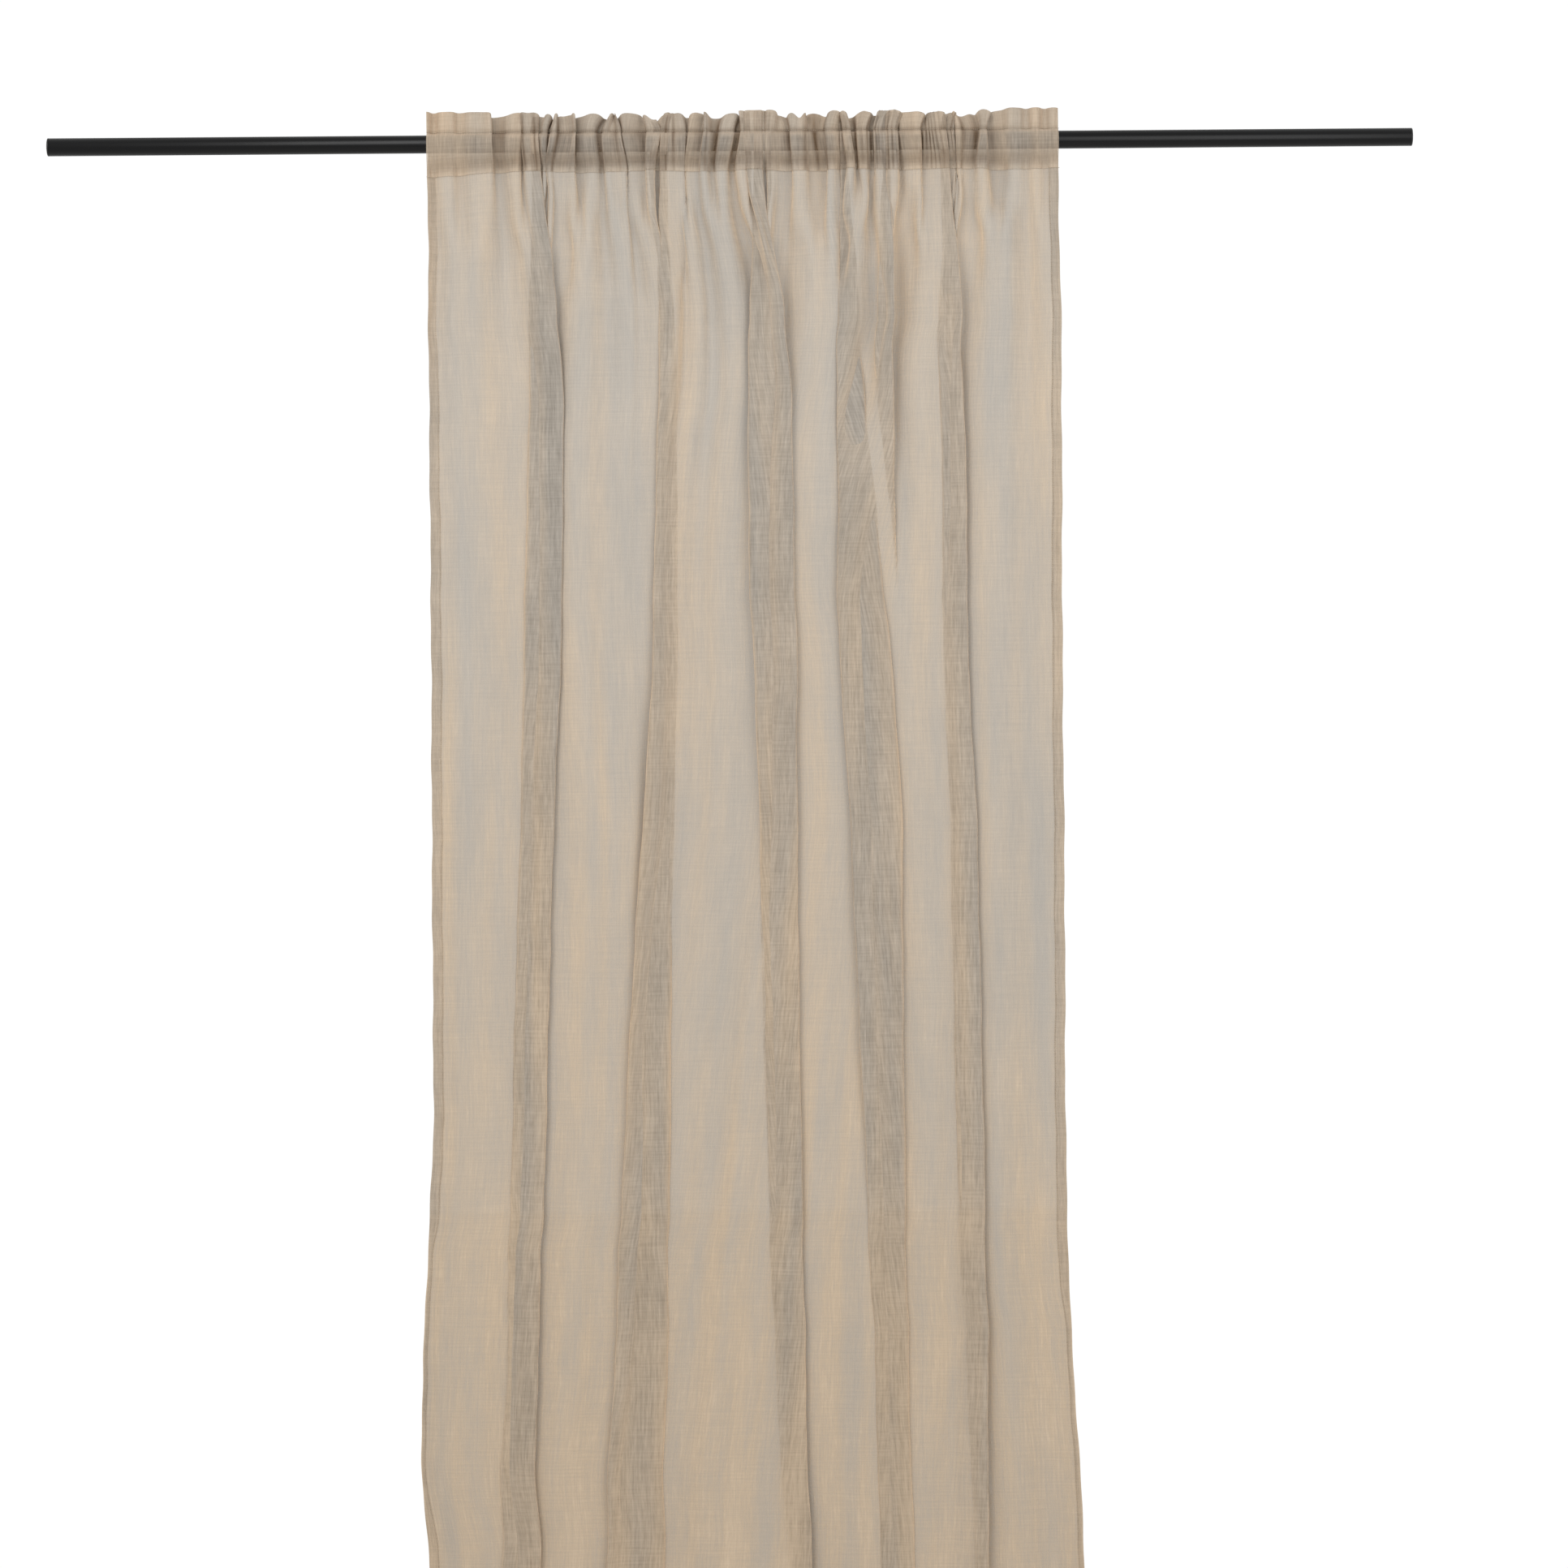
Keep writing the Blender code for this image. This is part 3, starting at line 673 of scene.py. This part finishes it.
sewing = bpy.data.node_groups.new("row_of_stitches", "GeometryNodeTree")
sewing.interface.new_socket(name="Seam", in_out="INPUT", socket_type="NodeSocketGeometry")
pitch_in = sewing.interface.new_socket(name="Pitch", in_out="INPUT", socket_type="NodeSocketFloat")
thick_in = sewing.interface.new_socket(name="Thickness", in_out="INPUT", socket_type="NodeSocketFloat")
seed_in = sewing.interface.new_socket(name="Seed", in_out="INPUT", socket_type="NodeSocketInt")
sewing.interface.new_socket(name="Stitches", in_out="OUTPUT", socket_type="NodeSocketGeometry")
given = add_node(sewing, "NodeGroupInput").outputs
spaced = add_node(
    sewing, "GeometryNodeResampleCurve", {"Curve": given["Seam"], "Length": given["Pitch"]}, mode="LENGTH")
bead = add_node(sewing, "GeometryNodeMeshUVSphere", {"Segments": 6, "Rings": 5, "Radius": 0.5})
size = add_node(sewing, "ShaderNodeCombineXYZ", {
    0: math_node(sewing, "MULTIPLY", given["Pitch"], 0.86), 1: given["Thickness"], 2: given["Thickness"]})
shaped = add_node(sewing, "GeometryNodeTransform", {
    "Geometry": bead.outputs["Mesh"], "Scale": size.outputs[0]})
tangent = add_node(sewing, "GeometryNodeInputTangent")
aim = add_node(sewing, "FunctionNodeAlignRotationToVector", {"Vector": tangent.outputs[0]}, axis="X")
skew_range = {"Min": (-0.05, -0.05, -0.10), "Max": (0.05, 0.05, 0.10), "Seed": given["Seed"]}
skew = add_node(sewing, "FunctionNodeRandomValue", skew_range, data_type="FLOAT_VECTOR")
turned = add_node(sewing, "FunctionNodeRotateRotation", {
    "Rotation": aim.outputs[0], "Rotate By": skew.outputs[0]}, rotation_space="LOCAL")
laid = add_node(sewing, "GeometryNodeInstanceOnPoints", {
    "Points": spaced.outputs[0], "Instance": shaped.outputs[0], "Rotation": turned.outputs[0]})
real = add_node(sewing, "GeometryNodeRealizeInstances", {"Geometry": laid.outputs[0]})
dressed = add_node(sewing, "GeometryNodeSetMaterial", {"Geometry": real.outputs[0], "Material": thread})
add_node(sewing, "NodeGroupOutput", {"Stitches": dressed.outputs[0]})


def stitch_row(name, line, seed, nodes):
    """Stitches along a line of points, as one plain mesh."""
    curve = bpy.data.curves.new(name, "CURVE")
    curve.dimensions = "3D"
    spline = curve.splines.new("POLY")
    spline.points.add(len(line) - 1)
    weighed = np.concatenate([line, np.ones((len(line), 1))], axis=1)
    spline.points.foreach_set("co", weighed.astype(np.float32).reshape(-1))
    seam = linked(name, curve)
    modifier = seam.modifiers.new("stitches", "NODES")
    modifier.node_group = sewing
    modifier[pitch_in.identifier] = PITCH
    modifier[thick_in.identifier] = THREAD
    modifier[seed_in.identifier] = seed
    bpy.context.view_layer.update()
    mesh = bpy.data.meshes.new_from_object(seam.evaluated_get(bpy.context.evaluated_depsgraph_get()))
    bpy.data.objects.remove(seam)
    mesh.name = name
    mesh.shade_smooth()
    piece = linked(name, mesh)
    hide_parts(*nodes)
    gathers_up(piece)
    return piece


# How far each row lies from the face of the cloth, and how far the hems' rows lie from the hems' edges.
SEAM_OUT, HEM_OUT, HEM_INSET = -0.0009, -0.0004, 0.0015
every = slice(None, None, 4)
x, y = beside(seam_x[every], seam_y[every], seam_bearing[every], SEAM_OUT)
pocket_line = np.stack([x, y, sag(ALONG[every], POCKET_SEAM_Z) - 0.0006], axis=1)
frill_x = x + np.interp(ALONG[every], here, crowd)
frill_y = y - seam_y[every] + pinched[every] - 0.0002
frill_line = np.stack([frill_x, frill_y, np.full(len(x), TOP_SEAM_Z + 0.0004)], axis=1)
frill_stitches = stitch_row("frill_stitches", frill_line, 1, [f"frill_stitching_{k}" for k in BAYS])
pocket_stitches = stitch_row("pocket_stitches", pocket_line, 2, [f"pocket_stitching_{k}" for k in BAYS])
for side, place in (("left", SIDE_HEM - HEM_INSET), ("right", WIDTH - SIDE_HEM + HEM_INSET)):
    line = []
    for values, z in zip(drop_lines, heights):
        line.append((*beside(*(np.interp(place, ALONG, v) for v in values), HEM_OUT), z))
    stitch_row(f"side_stitches_{side}", np.array(line), 3, [f"side_stitching_{side}"])
x, y = beside(*(values[every] for values in foot_lines[0]), HEM_OUT)
foot_line = np.stack([x, y, np.full(len(x), FOOT_Z + FOOT_HEM - HEM_INSET)], axis=1)
foot_stitches = stitch_row("bottom_stitches", foot_line, 5, [f"bottom_stitching_{k}" for k in BAYS])

# ---- Rod ----
# A straight steel tube in satin black powder coat, closed at both ends by flat plastic plugs.
# The coat has a fine orange-peel surface, and is a little more polished where it is handled.
black, tree = new_material("black_powder")
coords = add_node(tree, "ShaderNodeTexCoord").outputs["Object"]
orange_peel = add_node(tree, "ShaderNodeTexNoise", {"Vector": coords, "Scale": 700.0, "Detail": 2.0})
handled = add_node(tree, "ShaderNodeTexNoise", {"Vector": coords, "Scale": 9.0, "Detail": 3.0})
matt = map_range(tree, handled.outputs["Fac"], (0.0, 1.0), (0.25, 0.36))
peel = add_node(tree, "ShaderNodeBump", {
    "Height": orange_peel.outputs["Fac"], "Strength": 0.12, "Distance": 0.0002})
coat = add_node(tree, "ShaderNodeBsdfPrincipled", {
    "Base Color": (0.0008, 0.0008, 0.0010, 1), "Roughness": matt, "Specular IOR Level": 0.23,
    "Normal": peel.outputs[0]})
add_node(tree, "ShaderNodeOutputMaterial", {"Surface": coat.outputs[0]})

plastic, tree = new_material("black_plastic_plug")
coords = add_node(tree, "ShaderNodeTexCoord").outputs["Object"]
grain = add_node(tree, "ShaderNodeTexNoise", {"Vector": coords, "Scale": 1500.0, "Detail": 2.0})
rough = add_node(tree, "ShaderNodeBump", {
    "Height": grain.outputs["Fac"], "Strength": 0.2, "Distance": 0.0002})
moulded = add_node(tree, "ShaderNodeBsdfPrincipled", {
    "Base Color": (0.012, 0.012, 0.012, 1), "Roughness": 0.5, "Normal": rough.outputs[0]})
add_node(tree, "ShaderNodeOutputMaterial", {"Surface": moulded.outputs[0]})

TURNED_SIDES = 72


def turned_piece(name, profile, closed, material):
    """A surface turned about the rod's axis from (x, radius) points."""
    angles = [2 * math.pi * k / TURNED_SIDES for k in range(TURNED_SIDES)]
    points = [(x, radius * math.cos(a), radius * math.sin(a)) for x, radius in profile for a in angles]
    faces = []
    rings = len(profile)
    for ring in range(rings if closed else rings - 1):
        a, b = ring * TURNED_SIDES, (ring + 1) % rings * TURNED_SIDES
        for k in range(TURNED_SIDES):
            n = (k + 1) % TURNED_SIDES
            faces.append((a + k, b + k, b + n, a + n))
    if not closed:
        faces.append(tuple(range(TURNED_SIDES)))
        faces.append(tuple((rings - 1) * TURNED_SIDES + k for k in reversed(range(TURNED_SIDES))))
    mesh = bpy.data.meshes.new(name)
    mesh.from_pydata(points, [], faces)
    mesh.shade_smooth()
    mesh.set_sharp_from_angle(angle=math.radians(50))
    mesh.materials.append(material)
    return linked(name, mesh)


HALF_ROD, CAP, PLUG_DEPTH = 0.955, 0.002, 0.012
WALL, CHAMFER = 0.0012, 0.0003
tube_end = HALF_ROD - CAP - 0.0001
bore = ROD_RADIUS - WALL
tube = turned_piece("curtain_rod", [
    (-tube_end, bore), (-tube_end, ROD_RADIUS - CHAMFER), (-tube_end + CHAMFER, ROD_RADIUS),
    (tube_end - CHAMFER, ROD_RADIUS), (tube_end, ROD_RADIUS - CHAMFER), (tube_end, bore)], True, black)
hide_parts("rod_tube")
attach(tube, "rod")
# A plug's outline, as (depth from the rod's end, radius): a rounded cap, then the spigot in the bore.
PLUG = (
    (0.0, ROD_RADIUS - 0.0016), (0.00015, ROD_RADIUS - 0.0008), (0.0006, ROD_RADIUS - 0.0001),
    (0.0009, ROD_RADIUS), (CAP, ROD_RADIUS), (CAP, bore - 0.0003), (CAP + PLUG_DEPTH, bore - 0.0003),
)
for name, side in (("left", -1), ("right", 1)):
    outline = [(side * (HALF_ROD - depth), radius) for depth, radius in PLUG]
    plug = turned_piece(f"rod_end_{name}", outline[::-side], False, plastic)
    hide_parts(f"rod_plug_{name}")
    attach(plug, "rod")

# ---- Studio ----
# A pale floor under the panel and white all round.
# Two broad soft lights stand in front of it, the stronger one on the left.
FLOOR_Z = -2.475
pale, tree = new_material("pale_floor")
paint = add_node(tree, "ShaderNodeBsdfPrincipled", {"Base Color": (0.8, 0.79, 0.77, 1), "Roughness": 0.8})
add_node(tree, "ShaderNodeOutputMaterial", {"Surface": paint.outputs[0]})
floor_mesh = bpy.data.meshes.new("floor")
floor_corners = [(x, y, FLOOR_Z) for x, y in ((-3, -2.5), (3, -2.5), (3, 2.2), (-3, 2.2))]
floor_mesh.from_pydata(floor_corners, [], [(0, 1, 2, 3)])
floor_mesh.materials.append(pale)
linked("floor", floor_mesh)

# The white is a little dimmer as light than it is as a backdrop.
world = bpy.data.worlds.new("studio")
bpy.context.scene.world = world
world.use_nodes = True
tree = world.node_tree
tree.nodes.clear()
ray = add_node(tree, "ShaderNodeLightPath")
shown = map_range(tree, ray.outputs["Is Camera Ray"], (0.0, 1.0), (0.73, 1.02))
white = add_node(tree, "ShaderNodeBackground", {"Color": (1, 1, 1, 1), "Strength": shown})
add_node(tree, "ShaderNodeOutputWorld", {"Surface": white.outputs[0]})


def soft_light(name, place, target, size, power):
    """A broad rectangular light at a place, turned to its target."""
    data = bpy.data.lights.new(name, "AREA")
    data.shape = "RECTANGLE"
    data.size, data.size_y = size
    data.energy = power
    light = linked(name, data)
    light.location = place
    light.rotation_euler = (Vector(target) - Vector(place)).to_track_quat("-Z", "Y").to_euler()


PANEL_MIDDLE = (0, 0, -0.9)
soft_light("key", (-2.1, -3.6, 1.4), PANEL_MIDDLE, (2.2, 2.8), 98)
soft_light("fill", (2.8, -3.0, 0.2), PANEL_MIDDLE, (2.4, 2.8), 56)

# ---- Camera ----
# A long lens, square on to the panel and level with the middle of what it sees.
# It is rolled by under half a degree.
camera_data = bpy.data.cameras.new("camera")
camera_data.lens = 98.0
camera_data.sensor_width = 36.0
camera = linked("camera", camera_data)
look = Matrix.Rotation(math.radians(90), 4, "X") @ Matrix.Rotation(math.radians(-0.44), 4, "Z")
camera.matrix_world = Matrix.Translation((0.069, -5.975, -0.899)) @ look
bpy.context.scene.camera = camera
bpy.context.scene.view_settings.view_transform = "Standard"
